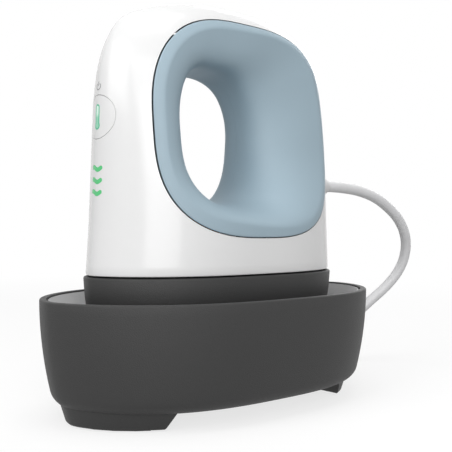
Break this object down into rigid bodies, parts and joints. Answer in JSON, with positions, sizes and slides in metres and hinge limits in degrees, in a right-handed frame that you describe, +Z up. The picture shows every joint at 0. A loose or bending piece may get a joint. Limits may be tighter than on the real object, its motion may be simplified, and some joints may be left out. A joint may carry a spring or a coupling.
{
  "type": "mini heat press in its resting base",
  "caption": "Boat-shaped hand heat press with a white hood, soft blue handle opening and nose button, resting in a dark footed base, with its cord coiled behind it.",
  "frame": {"origin": "on the resting plane under the middle of the base", "axes": "+Z up; -Y towards the nose with the button, +Y towards the cord; +X to the right of the nose-to-cord line seen from above with the nose down"},
  "size_m": [0.1389, 0.1768, 0.1289],
  "materials": {
    "hood_white": "white, low gloss",
    "grip_blue": "soft-touch grey blue",
    "skirt_black": "fine matt grain",
    "base_grey": "fine matt grain",
    "tray_grey": "smooth satin",
    "pad_rubber": "matt",
    "cord_white": "smooth satin",
    "tie_black": "woven",
    "blade_steel": "plated",
    "screw_steel": "zinc plated",
    "plate_aluminium": "ceramic coated",
    "element_brass": "dull",
    "ceramic": "unglazed ceramic",
    "mica": "flaky sheet",
    "felt": "fibrous",
    "board_green": "solder mask",
    "part_black": "moulded",
    "capacitor_film": "dipped",
    "light_green": "clear tinted"
  },
  "bodies": {
    "base": {"base_tub": "base_grey", "foot_pad_front": "pad_rubber", "foot_pad_rear": "pad_rubber", "base_tray": "tray_grey", "tray_screw_1": "screw_steel", "tray_screw_2": "screw_steel", "tray_screw_3": "screw_steel", "tray_screw_4": "screw_steel", "rest_pad_front": "pad_rubber", "rest_pad_rear": "pad_rubber", "rest_pad_left": "pad_rubber", "rest_pad_right": "pad_rubber", "cord_lead": "cord_white", "cord_coil": "cord_white", "cord_tail": "cord_white", "cord_tie": "tie_black", "plug_body": "cord_white", "plug_blade_left": "blade_steel", "plug_blade_right": "blade_steel"},
    "press": {"hood": "hood_white", "left_grip": "grip_blue", "right_grip": "grip_blue", "skirt": "skirt_black", "cord_relief": "cord_white", "plate_screw_1": "screw_steel", "plate_screw_2": "screw_steel", "plate_screw_3": "screw_steel", "plate_screw_4": "screw_steel", "hood_screw_front": "screw_steel", "hood_screw_rear": "screw_steel", "board_screw_front": "screw_steel", "board_screw_rear": "screw_steel", "control_screw_lower": "screw_steel", "control_screw_upper": "screw_steel", "relief_clip": "screw_steel", "heat_shield": "screw_steel", "thermal_fuse": "screw_steel", "heat_plate": "plate_aluminium", "heating_element": "element_brass", "temperature_sensor": "ceramic", "plate_standoff_1": "ceramic", "plate_standoff_2": "ceramic", "plate_standoff_3": "ceramic", "plate_standoff_4": "ceramic", "mica_sheet": "mica", "insulation_felt": "felt", "power_board": "board_green", "control_board": "board_green", "tact_switch": "part_black", "triac": "part_black", "dropper_capacitor": "capacitor_film", "light_guide_1": "light_green", "light_guide_2": "light_green", "light_guide_3": "light_green"},
    "button": {"button_cap": "hood_white", "button_lens": "light_green"}
  },
  "joints": [
    {"name": "press_lift", "type": "slide", "parent": "base", "child": "press", "axis": [0, 0, 1], "range_m": [0, 0.07]},
    {"name": "button_press", "type": "slide", "parent": "press", "child": "button", "axis": [0, 1, 0], "range_m": [0, 0.0006], "stiffness_N_per_m": 1500, "springref_m": -0.0004}
  ]
}
